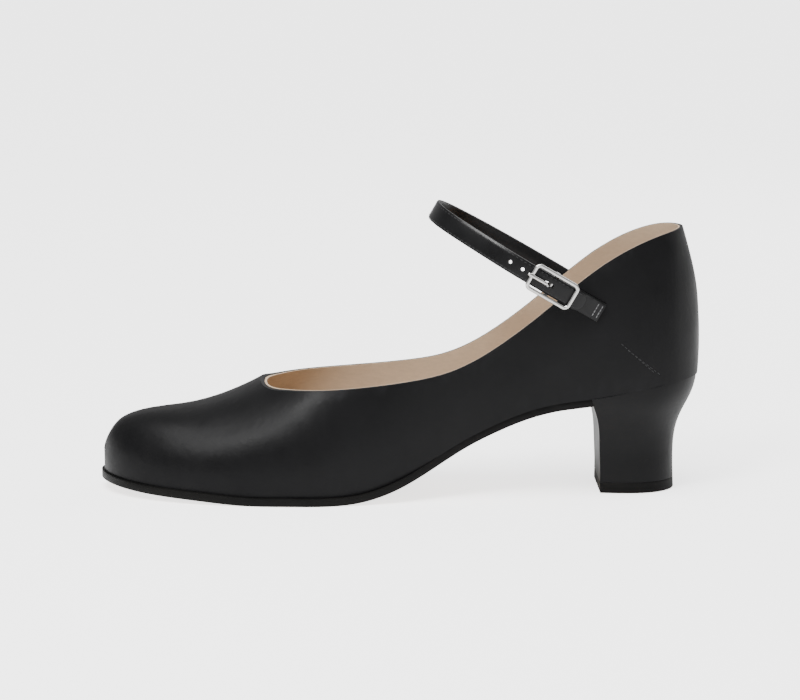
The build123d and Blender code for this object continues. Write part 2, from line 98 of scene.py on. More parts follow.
# ---- shader groups ----------------------------------------------------------------------------
def new_group(name, inputs, outputs):
    tree = bpy.data.node_groups.new(name, "ShaderNodeTree")
    for label, value in inputs:
        socket = tree.interface.new_socket(name=label, in_out="INPUT", socket_type="NodeSocketFloat")
        socket.default_value = value
    for label in outputs:
        tree.interface.new_socket(name=label, in_out="OUTPUT", socket_type="NodeSocketFloat")
    return tree, tree.nodes.new("NodeGroupInput"), tree.nodes.new("NodeGroupOutput")


def math_node(tree, operation, a, b=None, clamp=False):
    node = tree.nodes.new("ShaderNodeMath")
    node.operation = operation
    node.use_clamp = clamp
    for socket, value in zip(node.inputs, (a, b)):
        if value is None:
            continue
        if isinstance(value, (int, float)):
            socket.default_value = value
        else:
            tree.links.new(value, socket)
    return node.outputs[0]


def noise(tree, scale, detail=3.0, vector=None, roughness=0.5):
    node = tree.nodes.new("ShaderNodeTexNoise")
    if isinstance(scale, (int, float)):
        node.inputs["Scale"].default_value = scale
    else:
        tree.links.new(scale, node.inputs["Scale"])
    node.inputs["Detail"].default_value = detail
    node.inputs["Roughness"].default_value = roughness
    if vector is not None:
        tree.links.new(vector, node.inputs["Vector"])
    return node.outputs["Fac"]


def remap(tree, value, low, high, out_low, out_high):
    node = tree.nodes.new("ShaderNodeMapRange")
    tree.links.new(value, node.inputs["Value"])
    for label, number in (("From Min", low), ("From Max", high), ("To Min", out_low), ("To Max", out_high)):
        node.inputs[label].default_value = number
    return node.outputs["Result"]


def leather_grain_group():
    """Pebbled grain with fine pores and a slow change of tone."""
    tree, given, made = new_group("leather grain", [("Grain Scale", 900.0), ("Pore Scale", 2600.0)],
                                  ["Height", "Tone", "Gloss"])
    place = tree.nodes.new("ShaderNodeTexCoord").outputs["Object"]
    cells = tree.nodes.new("ShaderNodeTexVoronoi")
    cells.feature = "SMOOTH_F1"
    cells.inputs["Smoothness"].default_value = 0.6
    tree.links.new(place, cells.inputs["Vector"])
    tree.links.new(given.outputs["Grain Scale"], cells.inputs["Scale"])
    pores = noise(tree, given.outputs["Pore Scale"], 2.0, place)
    slow = noise(tree, 28.0, 4.0, place)
    patches = noise(tree, 90.0, 3.0, place)
    height = math_node(tree, "ADD", math_node(tree, "MULTIPLY", cells.outputs["Distance"], 0.7),
                       math_node(tree, "MULTIPLY", pores, 0.3))
    tree.links.new(height, made.inputs["Height"])
    tree.links.new(remap(tree, slow, 0.3, 0.7, 0.0, 1.0), made.inputs["Tone"])
    tree.links.new(remap(tree, patches, 0.25, 0.75, 0.0, 1.0), made.inputs["Gloss"])
    return tree


def rub_group():
    """Rubbed edges and corners, from the surface's own sharpness, broken up by noise."""
    sockets = [("Low", 0.52), ("High", 0.6), ("Break Up", 300.0)]
    tree, given, made = new_group("rubbed edges", sockets, ["Wear"])
    geometry = tree.nodes.new("ShaderNodeNewGeometry")
    place = tree.nodes.new("ShaderNodeTexCoord").outputs["Object"]
    sharp = tree.nodes.new("ShaderNodeMapRange")
    tree.links.new(geometry.outputs["Pointiness"], sharp.inputs["Value"])
    tree.links.new(given.outputs["Low"], sharp.inputs["From Min"])
    tree.links.new(given.outputs["High"], sharp.inputs["From Max"])
    speckle = noise(tree, given.outputs["Break Up"], 4.0, place)
    broken = remap(tree, speckle, 0.35, 0.65, 0.0, 1.0)
    wear = math_node(tree, "MULTIPLY", sharp.outputs["Result"], broken, True)
    tree.links.new(wear, made.inputs["Wear"])
    return tree


def fibre_group():
    """Felted fibres and stains of undyed leather and board."""
    tree, given, made = new_group("fibres", [("Fibre Scale", 700.0), ("Stain Scale", 35.0)],
                                  ["Height", "Tone", "Stain"])
    place = tree.nodes.new("ShaderNodeTexCoord").outputs["Object"]
    stretch = tree.nodes.new("ShaderNodeMapping")
    stretch.inputs["Scale"].default_value = (0.35, 1.0, 1.0)
    tree.links.new(place, stretch.inputs["Vector"])
    fibres = noise(tree, given.outputs["Fibre Scale"], 5.0, stretch.outputs["Vector"], 0.65)
    stain = noise(tree, given.outputs["Stain Scale"], 4.0, place)
    tree.links.new(fibres, made.inputs["Height"])
    tree.links.new(remap(tree, fibres, 0.3, 0.7, 0.0, 1.0), made.inputs["Tone"])
    tree.links.new(remap(tree, stain, 0.35, 0.7, 0.0, 1.0), made.inputs["Stain"])
    return tree


GRAIN = leather_grain_group()
RUB = rub_group()
FIBRES = fibre_group()


# ---- materials -------------------------------------------------------------------------------------
def new_material(name, colour, roughness):
    material = bpy.data.materials.new(name)
    material.use_nodes = True
    tree = material.node_tree
    shader = tree.nodes["Principled BSDF"]
    shader.inputs["Base Color"].default_value = (*colour, 1.0)
    shader.inputs["Roughness"].default_value = roughness
    return material, tree, shader


def use_group(tree, group, **values):
    node = tree.nodes.new("ShaderNodeGroup")
    node.node_tree = group
    for label, value in values.items():
        node.inputs[label.replace("_", " ")].default_value = value
    return node.outputs


def blend_colour(tree, factor, a, b):
    node = tree.nodes.new("ShaderNodeMix")
    node.data_type = "RGBA"
    if isinstance(factor, (int, float)):
        node.inputs["Factor"].default_value = factor
    else:
        tree.links.new(factor, node.inputs["Factor"])
    for socket, value in ((node.inputs["A"], a), (node.inputs["B"], b)):
        if isinstance(value, tuple):
            socket.default_value = (*value, 1.0)
        else:
            tree.links.new(value, socket)
    return node.outputs["Result"]


def bump(tree, shader, height, strength, distance):
    node = tree.nodes.new("ShaderNodeBump")
    node.inputs["Strength"].default_value = strength
    node.inputs["Distance"].default_value = distance
    tree.links.new(height, node.inputs["Height"])
    tree.links.new(node.outputs["Normal"], shader.inputs["Normal"])
    return node


def dyed_leather(name, dark, light, rough_low, rough_high, grain_scale, depth, shine):
    """Smooth dyed leather with a low polish, a fine grain and rubbed edges."""
    material, tree, shader = new_material(name, dark, rough_low)
    grain = use_group(tree, GRAIN, Grain_Scale=grain_scale, Pore_Scale=grain_scale * 3.1)
    wear = use_group(tree, RUB, Low=0.53, High=0.62, Break_Up=260.0)["Wear"]
    toned = blend_colour(tree, grain["Tone"], dark, light)
    rubbed = blend_colour(tree, math_node(tree, "MULTIPLY", wear, 0.5), toned, tuple(3.0 * c for c in light))
    tree.links.new(rubbed, shader.inputs["Base Color"])
    gloss = remap(tree, grain["Gloss"], 0.0, 1.0, rough_low, rough_high)
    dulled = math_node(tree, "ADD", gloss, math_node(tree, "MULTIPLY", wear, 0.12))
    tree.links.new(dulled, shader.inputs["Roughness"])
    shader.inputs["Specular IOR Level"].default_value = shine
    bump(tree, shader, grain["Height"], 0.35, depth)
    return material


def natural_leather(name, base, dark, roughness, depth, fibre_scale=700.0):
    """Undyed leather: fibres, a few stains and a dull surface."""
    material, tree, shader = new_material(name, base, roughness)
    fibres = use_group(tree, FIBRES, Fibre_Scale=fibre_scale, Stain_Scale=35.0)
    fine = blend_colour(tree, fibres["Tone"], base, tuple(0.86 * c for c in base))
    stained = blend_colour(tree, math_node(tree, "MULTIPLY", fibres["Stain"], 0.35), fine, dark)
    tree.links.new(stained, shader.inputs["Base Color"])
    dull = remap(tree, fibres["Tone"], 0.0, 1.0, roughness - 0.06, roughness + 0.06)
    tree.links.new(dull, shader.inputs["Roughness"])
    bump(tree, shader, fibres["Height"], 0.5, depth)
    return material


def waxed_thread(name, colour, pale):
    """Twisted thread: fine slanting ridges and a waxy sheen."""
    material, tree, shader = new_material(name, colour, 0.5)
    place = tree.nodes.new("ShaderNodeTexCoord").outputs["Object"]
    ply = tree.nodes.new("ShaderNodeTexWave")
    ply.wave_type = "BANDS"
    ply.bands_direction = "DIAGONAL"
    ply.inputs["Scale"].default_value = 1400.0
    ply.inputs["Distortion"].default_value = 1.5
    tree.links.new(place, ply.inputs["Vector"])
    tree.links.new(blend_colour(tree, ply.outputs["Fac"], colour, pale), shader.inputs["Base Color"])
    tree.links.new(remap(tree, ply.outputs["Fac"], 0.0, 1.0, 0.42, 0.62), shader.inputs["Roughness"])
    bump(tree, shader, ply.outputs["Fac"], 0.6, 0.00004)
    return material


def plated_metal(name, colour, roughness):
    """Bright nickel with faint polishing haze."""
    material, tree, shader = new_material(name, colour, roughness)
    shader.inputs["Metallic"].default_value = 1.0
    place = tree.nodes.new("ShaderNodeTexCoord").outputs["Object"]
    haze = noise(tree, 400.0, 4.0, place)
    dull = remap(tree, haze, 0.3, 0.7, roughness - 0.05, roughness + 0.08)
    tree.links.new(dull, shader.inputs["Roughness"])
    tint = blend_colour(tree, haze, colour, tuple(0.86 * c for c in colour))
    tree.links.new(tint, shader.inputs["Base Color"])
    bump(tree, shader, noise(tree, 1500.0, 2.0, place), 0.08, 0.00003)
    return material


INK = (0.0022, 0.0022, 0.0026)
upper_black = dyed_leather("upper leather, black", INK, (0.0045, 0.0045, 0.005), 0.34, 0.44,
                           900.0, 0.00005, 0.2)
strap_black = dyed_leather("strap leather, black", INK, (0.005, 0.005, 0.0055), 0.26, 0.38,
                           1000.0, 0.00006, 0.32)
heel_black = dyed_leather("heel cover leather, black", INK, (0.0045, 0.0045, 0.005), 0.34, 0.44,
                          950.0, 0.00005, 0.2)
edge_black = dyed_leather("inked sole edge, black", (0.002, 0.002, 0.002), (0.005, 0.0045, 0.004), 0.42, 0.56,
                          600.0, 0.00008, 0.16)
edge_bronze = natural_leather("burnished sole edge, bronze", (0.10, 0.065, 0.035), (0.03, 0.02, 0.012), 0.5,
                              0.00006, 900.0)
lining_tan = natural_leather("lining leather, tan", (0.62, 0.47, 0.33), (0.46, 0.33, 0.21),
                             0.62, 0.00008, 900.0)
sock_tan = natural_leather("sock leather, tan", (0.60, 0.45, 0.31), (0.44, 0.31, 0.19), 0.6, 0.00008, 800.0)
tip_pale = natural_leather("heel tip leather, pale", (0.80, 0.67, 0.57), (0.62, 0.48, 0.38),
                           0.62, 0.0001, 500.0)
sole_tan = natural_leather("sole leather, tan", (0.80, 0.64, 0.48), (0.62, 0.46, 0.32), 0.56, 0.00008, 600.0)
board_brown = natural_leather("insole board", (0.42, 0.31, 0.20), (0.30, 0.21, 0.13), 0.8, 0.0001, 500.0)
puff_cream = natural_leather("stiffener fibre", (0.70, 0.66, 0.55), (0.55, 0.50, 0.40), 0.8, 0.0001, 500.0)
foam_pale = natural_leather("latex foam", (0.80, 0.77, 0.70), (0.68, 0.63, 0.54), 0.85, 0.0002, 1200.0)
core_cream = natural_leather("heel core plastic", (0.74, 0.70, 0.60), (0.62, 0.58, 0.48), 0.5, 0.00003, 200.0)
thread_black = waxed_thread("waxed thread, black", (0.010, 0.010, 0.011), (0.028, 0.028, 0.030))
thread_grey = waxed_thread("waxed thread, grey", (0.10, 0.10, 0.105), (0.22, 0.22, 0.225))
nickel = plated_metal("nickel plate", (0.80, 0.79, 0.77), 0.16)
steel = plated_metal("plain steel", (0.46, 0.46, 0.48), 0.36)

LOOKS = {"toe_puff": puff_cream, "heel_counter": puff_cream, "insole_board": board_brown,
         "heel_pad": foam_pale, "shank": steel, "bottom_filler": board_brown, "heel_block": core_cream,
         "top_piece_nails": steel, "heel_nails": steel, "heel_screw": steel, "buckle_prong": nickel}
for name, material in LOOKS.items():
    for holder in nodes[name].material_slots:
        holder.material = material


# ---- modelling helpers ------------------------------------------------------------------------------
def edit_mode(piece, kind="FACE"):
    pick(piece)
    bpy.ops.object.mode_set(mode="EDIT")
    bpy.ops.mesh.select_mode(type=kind)
    bpy.ops.mesh.select_all(action="DESELECT")


def object_mode():
    bpy.ops.object.mode_set(mode="OBJECT")


def choose(piece, kind, wanted):
    """Select the faces or edges that pass the test, and go to edit mode."""
    edit_mode(piece, kind)
    object_mode()
    mesh = piece.data
    items = mesh.polygons if kind == "FACE" else mesh.edges
    for item in items:
        item.select = bool(wanted(item))
    bpy.ops.object.mode_set(mode="EDIT")


def edge_middle(piece, edge):
    a, b = edge.vertices
    return (piece.data.vertices[a].co + piece.data.vertices[b].co) / 2


def cad_copy(node, name):
    """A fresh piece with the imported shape, its loose triangles merged."""
    drop_selection()
    piece = nodes[node].copy()
    piece.data = nodes[node].data.copy()
    piece.name = name
    piece.parent = None
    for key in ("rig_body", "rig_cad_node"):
        del piece[key]
    bpy.context.collection.objects.link(piece)
    piece.hide_viewport = piece.hide_render = False
    pick(piece)
    bpy.ops.mesh.customdata_custom_splitnormals_clear()
    edit_mode(piece)
    bpy.ops.mesh.select_all(action="SELECT")
    bpy.ops.mesh.remove_doubles(threshold=0.004 * mm)
    object_mode()
    return piece


def stand_in(node, name):
    """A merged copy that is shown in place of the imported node."""
    piece = cad_copy(node, name)
    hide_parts(node)
    return piece


def round_edges(piece, width, segments, where=None, sharper=40.0):
    """Bevel the piece's sharp edges, or those of them whose middle passes the test."""
    edit_mode(piece, "EDGE")
    bpy.ops.mesh.edges_select_sharp(sharpness=math.radians(sharper))
    object_mode()
    sharp = {edge.index for edge in piece.data.edges if edge.select}
    choose(piece, "EDGE", lambda e: e.index in sharp and (where is None or where(edge_middle(piece, e))))
    bpy.ops.mesh.bevel(offset=width, segments=segments, affect="EDGES", clamp_overlap=True)
    object_mode()


def even_shading(piece, sharper=35.0):
    """Shade smooth across the piece, split at its sharp edges, with each face weighed by its size."""
    pick(piece)
    bpy.ops.object.shade_smooth_by_angle(angle=math.radians(sharper))
    weights = piece.modifiers.new("even shading", "WEIGHTED_NORMAL")
    weights.keep_sharp = True
    weights.weight = 90
    bpy.ops.object.modifier_apply(modifier=weights.name)


def surface_of(obj):
    """Search tree over a mesh, for finding points on it."""
    mesh = bmesh.new()
    mesh.from_mesh(obj.data)
    tree = BVHTree.FromBMesh(mesh)
    mesh.free()
    return tree


def stitch_model(length, radius):
    """One stitch lying along X: a short rounded bar with both ends dipping into the leather."""
    drop_selection()
    bpy.ops.mesh.primitive_cylinder_add(vertices=6, radius=radius, depth=length, rotation=(0, math.pi / 2, 0))
    stitch = bpy.context.object
    settle(stitch)
    choose(stitch, "EDGE", lambda e: abs(abs(edge_middle(stitch, e).x) - length / 2) > 0.1 * length)
    bpy.ops.mesh.subdivide(number_cuts=3)
    object_mode()
    for v in stitch.data.vertices:
        share = abs(v.co.x) / (length / 2)
        v.co.z -= radius * share**4
        v.co.y *= 1 - 0.35 * share**4
    return stitch


def sew(name, places, length, radius):
    """Copies of one stitch at each (point, run, out), joined into one piece."""
    model = stitch_model(length, radius)
    made = []
    for point, run, out in places:
        run = (run - out * run.dot(out)).normalized()
        copy = model.copy()
        copy.data = model.data.copy()
        bpy.context.collection.objects.link(copy)
        turn = Matrix((run, out.cross(run), out)).transposed().to_4x4()
        copy.matrix_world = Matrix.Translation(point + out * 0.35 * radius) @ turn
        made.append(copy)
    drop_selection()
    bpy.data.objects.remove(model)
    for copy in made:
        copy.select_set(True)
    bpy.context.view_layer.objects.active = made[0]
    bpy.ops.object.join()
    row = bpy.context.object
    row.name = name
    settle(row)
    return row


# ---- upper, lining and sock -----------------------------------------------------------------------------
def on_topline(piece, face):
    """The cut along the top edge: it lies square to the middle plane, well above the sock."""
    high = face.center.z > (56 * mm if face.center.x < 60 * mm else 44 * mm)
    return high and abs(face.normal.y) < 0.004 and face.normal.z > 0.15


def topline_rims(piece):
    """Edges between the top cut and the walls."""
    cut = [face for face in piece.data.polygons if on_topline(piece, face)]
    count = {}
    for face in cut:
        for key in face.edge_keys:
            count[key] = count.get(key, 0) + 1
    return {key for key, times in count.items() if times == 1}


def make_upper():
    upper = stand_in("upper", "upper_leather")
    rims = topline_rims(upper)
    choose(upper, "EDGE", lambda e: tuple(sorted(e.vertices)) in rims)
    bpy.ops.mesh.bevel(offset=0.55 * mm, segments=3, affect="EDGES", clamp_overlap=True)
    object_mode()
    even_shading(upper)
    finish_piece(upper, "shoe", upper_black)
    return upper


def rim_loop(piece, inner_surface):
    """Points of the outer rim of the top edge, in order."""
    mesh = piece.data
    links = {}
    for a, b in topline_rims(piece):
        middle = (mesh.vertices[a].co + mesh.vertices[b].co) / 2
        if inner_surface.find_nearest(middle)[3] > 1.2 * mm:
            links.setdefault(a, []).append(b)
            links.setdefault(b, []).append(a)
    start = max(links, key=lambda v: mesh.vertices[v].co.x)
    loop = [start]
    here, before = links[start][0], start
    while here != start:
        loop.append(here)
        onward = [v for v in links[here] if v != before]
        if not onward:
            break
        before, here = here, onward[0]
    return [mesh.vertices[v].co.copy() for v in loop]


def even_points(points, pitch, closed=False):
    """Points at an even pitch along a line of points, with the run at each."""
    if closed:
        points = points + [points[0]]
    runs = [0.0]
    for p, q in zip(points, points[1:]):
        runs.append(runs[-1] + (q - p).length)
    count = max(2, round(runs[-1] / pitch))
    made = []
    i = 0
    for k in range(count):
        s = (k + 0.5) * runs[-1] / count
        while runs[i + 1] < s:
            i += 1
        p, q = points[i], points[i + 1]
        made.append((p.lerp(q, (s - runs[i]) / (runs[i + 1] - runs[i])), (q - p).normalized()))
    return made


def sew_topline():
    """One row of black stitches a little below the top edge."""
    outside = surface_of(nodes["upper"])
    bare = cad_copy("upper", "rim_guide")
    rim = rim_loop(bare, surface_of(nodes["lining"]))
    bpy.data.objects.remove(bare)
    places = []
    for point, run in even_points(rim, 2.5 * mm, closed=True):
        spot, out, _, _ = outside.find_nearest(point + Vector((0, math.copysign(0.3 * mm, point.y), 0)))
        best = None
        for side in (1, -1):
            guess = point + out.cross(run).normalized() * side * 2.0 * mm
            found, normal, _, gap = outside.find_nearest(guess)
            if best is None or gap < best[2]:
                best = (found, normal, gap)
        places.append((best[0], run, best[1]))
    row = sew("topline_stitches", places, 1.7 * mm, 0.19 * mm)
    finish_piece(row, "shoe", thread_black, 60)


def sew_rear_quarter():
    """Double row of black stitches low on the outer side of the heel, down to the seat seam."""
    outside = surface_of(nodes["upper"])
    places = []
    for shift in (0.0, 2.6):
        high = Vector((9.0 - shift, 0, 65.0 - shift)) * mm
        low = Vector((-5.0 - shift, 0, 52.5 - shift * 0.4)) * mm
        for point, run in even_points([high, low], 1.9 * mm):
            spot, out, _, _ = outside.ray_cast(point + Vector((0, 60 * mm, 0)), Vector((0, -1, 0)))
            if spot is not None:
                places.append((spot, run, out))
    row = sew("rear_quarter_stitches", places, 1.3 * mm, 0.17 * mm)
    finish_piece(row, "shoe", thread_black, 60)


def make_lining():
    lining = stand_in("lining", "lining_leather")
    rims = topline_rims(lining)
    choose(lining, "EDGE", lambda e: tuple(sorted(e.vertices)) in rims)
    bpy.ops.mesh.bevel(offset=0.2 * mm, segments=2, affect="EDGES", clamp_overlap=True)
    object_mode()
    even_shading(lining)
    finish_piece(lining, "shoe", lining_tan)


def make_sock():
    """Sock lining with a pressed border and a soft crown over the heel pad."""
    sock = stand_in("sock_lining", "sock_cushion")
    choose(sock, "FACE", lambda f: f.normal.z > 0.6)
    bpy.ops.mesh.inset(thickness=1.6 * mm, depth=0.25 * mm)
    object_mode()
    round_edges(sock, 0.2 * mm, 2, sharper=50.0)
    finish_piece(sock, "shoe", sock_tan, 50)


# ---- sole and heel ----------------------------------------------------------------------------
def edge_and_face(piece, under, line, side):
    """Ground faces, the worn line along their edge and the inked side, each with its own finish."""
    piece.data.materials.clear()
    for material in (under, line, side):
        piece.data.materials.append(material)
    for face in piece.data.polygons:
        fall = face.normal.z
        face.material_index = 0 if fall < -0.78 else 1 if fall < -0.3 else 2


BREAST_X = 20.5 * mm     # the outsole is hidden under the heel behind this


def make_outsole():
    sole = stand_in("outsole", "outsole_leather")

    def outline(middle):
        """Sharp edges on the outside of the sole, clear of the grooves."""
        return middle.x > BREAST_X and ring.find_nearest(middle)[3] < 0.05 * mm

    ring = BVHTree.FromPolygons([v.co for v in sole.data.vertices],
                                [tuple(f.vertices) for f in sole.data.polygons if abs(f.normal.z) < 0.2
                                 and abs(f.normal.x) < 0.999])
    round_edges(sole, 0.45 * mm, 2, where=outline)
    pick(sole)
    bpy.ops.object.shade_smooth_by_angle(angle=math.radians(35))
    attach(sole, "shoe")
    edge_and_face(sole, sole_tan, edge_bronze, edge_black)


def make_heel():
    cover = stand_in("heel_cover", "heel_cover_leather")
    round_edges(cover, 0.3 * mm, 2, sharper=50.0)
    even_shading(cover)
    finish_piece(cover, "shoe", heel_black)
    tip = stand_in("top_piece", "heel_tip")
    round_edges(tip, 0.35 * mm, 3, where=lambda p: abs(p.y) > 10 * mm or abs(p.x) > 12 * mm, sharper=50.0)
    pick(tip)
    bpy.ops.object.shade_smooth_by_angle(angle=math.radians(35))
    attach(tip, "shoe")
    edge_and_face(tip, tip_pale, edge_bronze, edge_black)


# ---- strap and buckle -------------------------------------------------------------------------
joints = {joint["name"]: joint for joint in frame["joints"]}
across = -Vector(joints["strap_swing"]["axis"])        # up across the strap
forward = Vector((across.z, 0, -across.x))             # along the strap, to the instep
aside = Vector((0, 1, 0))
strap_root = Vector(joints["strap_swing"]["pos_m"])
loop_centre = Vector((strap_root.x, 0, strap_root.z)) + forward * 15 * mm
loop_place = Matrix.Translation(loop_centre) @ Matrix((forward, aside, across)).transposed().to_4x4()
STRAP_W = 8.0 * mm
TIP_TO_BAR = 15.4 * mm
BAR_TO_HOLE = 14.4 * mm
HOLE_PITCH = 6.0 * mm
CLEAR_OF_HOLES = 2.9 * mm        # off the middle of the strap, past its slot and holes
TIP_ROUND = 1.2 * mm             # the round tip is this much shorter there
width_axis = Vector((0, 0, 1))   # across the strap while it is still flat


def strap_line():
    """The outer face of the strap in the plane of the loop, from its tip to its sewn end."""
    leather = surface_of(nodes["strap_leather"])
    line = []
    for i in range(401):
        turn = math.radians(140.0 - 0.7 * i)
        ray = forward * math.cos(turn) + aside * math.sin(turn)
        spot, _, _, _ = leather.ray_cast(loop_centre + across * CLEAR_OF_HOLES + ray * 0.15, -ray)
        if spot is not None and (spot - loop_centre).dot(ray) > 0:     # on this side of the loop
            local = loop_place.inverted() @ spot
            line.append(Vector((local.x, local.y, 0)))
    line.insert(0, line[0] + (line[0] - line[2]).normalized() * TIP_ROUND)
    return line


def line_curve(name, line):
    """A flat curve through the line, for bending straight pieces along it."""
    drop_selection()
    bpy.ops.curve.primitive_nurbs_path_add()
    curve = bpy.context.object
    curve.name = name
    curve.data.dimensions = "2D"
    curve.data.splines.clear()
    spline = curve.data.splines.new("POLY")
    spline.points.add(len(line) - 1)
    for point, co in zip(spline.points, line):
        point.co = (co.x, co.y, 0, 1)
    curve.matrix_world = loop_place
    return curve


def bend_along(piece, curve):
    """Bend a piece modelled straight along X to the curve, and leave its place in its mesh."""
    piece.matrix_world = loop_place
    bend = piece.modifiers.new("bend", "CURVE")
    bend.object = curve
    bend.deform_axis = "POS_X"
    pick(piece)
    bpy.ops.object.modifier_apply(modifier=bend.name)
    settle(piece)


def straight_strap(name, length, top, thickness, width, crown):
    """A flat strap along X with a round tip at x = 0 and its outer face at the height top."""
    drop_selection()
    bpy.ops.mesh.primitive_cube_add(size=1.0, location=(length / 2, top - thickness / 2, 0))
    strap = bpy.context.object
    strap.name = name
    strap.scale = (length, thickness, width)
    settle(strap)
    choose(strap, "EDGE", lambda e: (edge_middle(strap, e).x < 0.1 * mm
                                     and abs(edge_middle(strap, e).z) > 0.4 * width))
    bpy.ops.mesh.bevel(offset=0.49 * width, segments=8, affect="EDGES")
    object_mode()
    choose(strap, "FACE", lambda f: f.normal.y > 0.9)
    bpy.ops.mesh.inset(thickness=1.5 * mm, depth=crown)
    object_mode()
    round_edges(strap, 0.28 * mm, 2, sharper=60.0)
    return strap


def punch(strap, x, length, radius):
    """Cut a round-ended hole through the strap at x."""
    drop_selection()
    bpy.ops.mesh.primitive_cylinder_add(vertices=24, radius=radius, depth=10 * mm, location=(x, 0, 0),
                                        rotation=(math.pi / 2, 0, 0))
    cutter = bpy.context.object
    cutter.scale = (length / (2 * radius), 1, 1)
    settle(cutter)
    hole = strap.modifiers.new("hole", "BOOLEAN")
    hole.object = cutter
    hole.operation = "DIFFERENCE"
    hole.solver = "EXACT"
    pick(strap)
    bpy.ops.object.modifier_apply(modifier=hole.name)
    bpy.data.objects.remove(cutter)


def slice_along(strap, length, pitch):
    """Cross cuts all the way along, so that the strap can bend."""
    edit_mode(strap, "VERT")
    for k in range(1, int(length / pitch)):
        bpy.ops.mesh.select_all(action="SELECT")
        bpy.ops.mesh.bisect(plane_co=(k * pitch, 0, 0), plane_no=(1, 0, 0))
    object_mode()


def with_strap(piece, material, smooth):
    """Give a strap piece its finish and shading, and put its place into its mesh."""
    finish_look(piece, material, smooth)
    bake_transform(piece)


def finish_look(piece, material, smooth):
    piece.data.materials.clear()
    piece.data.materials.append(material)
    pick(piece)
    bpy.ops.object.shade_smooth_by_angle(angle=math.radians(smooth))


def make_strap():
    line = strap_line()
    length = sum((q - p).length for p, q in zip(line, line[1:]))
    guide = line_curve("strap_guide", line)
    leather_t, backing_t = 1.1 * mm, 0.85 * mm
    band = straight_strap("strap_band", length, 0.0, leather_t, STRAP_W, 0.16 * mm)
    backing = straight_strap("strap_backing", length, -leather_t, backing_t, STRAP_W - 0.3 * mm, 0.0)
    for piece in (band, backing):
        punch(piece, TIP_TO_BAR + 2.1 * mm, 5.0 * mm, 1.0 * mm)
        for i in range(2):
            punch(piece, TIP_TO_BAR + BAR_TO_HOLE + i * HOLE_PITCH, 1.6 * mm, 0.8 * mm)
        slice_along(piece, length, 1.2 * mm)
        bend_along(piece, guide)
    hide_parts("strap_leather")
    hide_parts("strap_lining")
    places = []
    row_z = STRAP_W / 2 - 0.95 * mm
    pitch = 2.0 * mm
    count = int((length - 8 * mm) / pitch)
    for side in (1, -1):
        for k in range(count):
            places.append((Vector((4.2 * mm + k * pitch, 0.02 * mm, side * row_z)), Vector((1, 0, 0)), aside))
    rows = sew("strap_stitches", places, 1.5 * mm, 0.17 * mm)
    bend_along(rows, guide)
    roots = [(Vector((length - x * mm, 0.16 * mm, z * mm)), width_axis, aside)
             for x in (1.6, 3.4) for z in (-2.1, -0.7, 0.7, 2.1)]
    root_rows = sew("strap_root_stitches", roots, 1.15 * mm, 0.2 * mm)
    bend_along(root_rows, guide)
    bpy.data.objects.remove(guide)
    with_strap(band, strap_black, 40)
    with_strap(backing, strap_black, 40)
    with_strap(rows, thread_black, 60)
    with_strap(root_rows, thread_grey, 60)


def make_chape():
    """The tab that holds the buckle, folded round its bar, with two rows of stitches at the sewn end."""
    tab = stand_in("chape", "buckle_tab")
    round_edges(tab, 0.25 * mm, 2, sharper=50.0)
    outer = surface_of(nodes["chape"])
    root = Vector(joints["buckle_swing"]["pos_m"]) - forward * 8 * mm
    places = []
    for step in (1.0, 2.9, 12.6):
        for z in (-2.2, -0.75, 0.75, 2.2):
            start = root + forward * step * mm + across * z * mm + aside * 30 * mm
            spot, out, _, _ = outer.ray_cast(start, -aside)
            if spot is not None:
                places.append((spot, across, out))
    rows = sew("buckle_tab_stitches", places, 1.2 * mm, 0.2 * mm)
    for piece, material in ((tab, strap_black), (rows, thread_grey)):
        finish_look(piece, material, 50)
        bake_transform(piece)


def buckle_place():
    """Axes at the buckle's bar: along the frame, across it and out of it."""
    bar = Vector(joints["prong_swing"]["pos_m"])
    spread = [v.co - bar for v in nodes["buckle_frame"].data.vertices]
    uu = sum(d.dot(forward) ** 2 for d in spread)
    vv = sum(d.dot(aside) ** 2 for d in spread)
    uv = sum(d.dot(forward) * d.dot(aside) for d in spread)
    turn = 0.5 * math.atan2(2 * uv, uu - vv)
    along = forward * math.cos(turn) + aside * math.sin(turn)
    out = across.cross(along)
    if out.y < 0:
        along, out = along, -out
    ends = []
    for axis in (along, across, out):
        reach = [d.dot(axis) for d in spread]
        ends.append((min(reach), max(reach)))
    return bar, along, out, ends


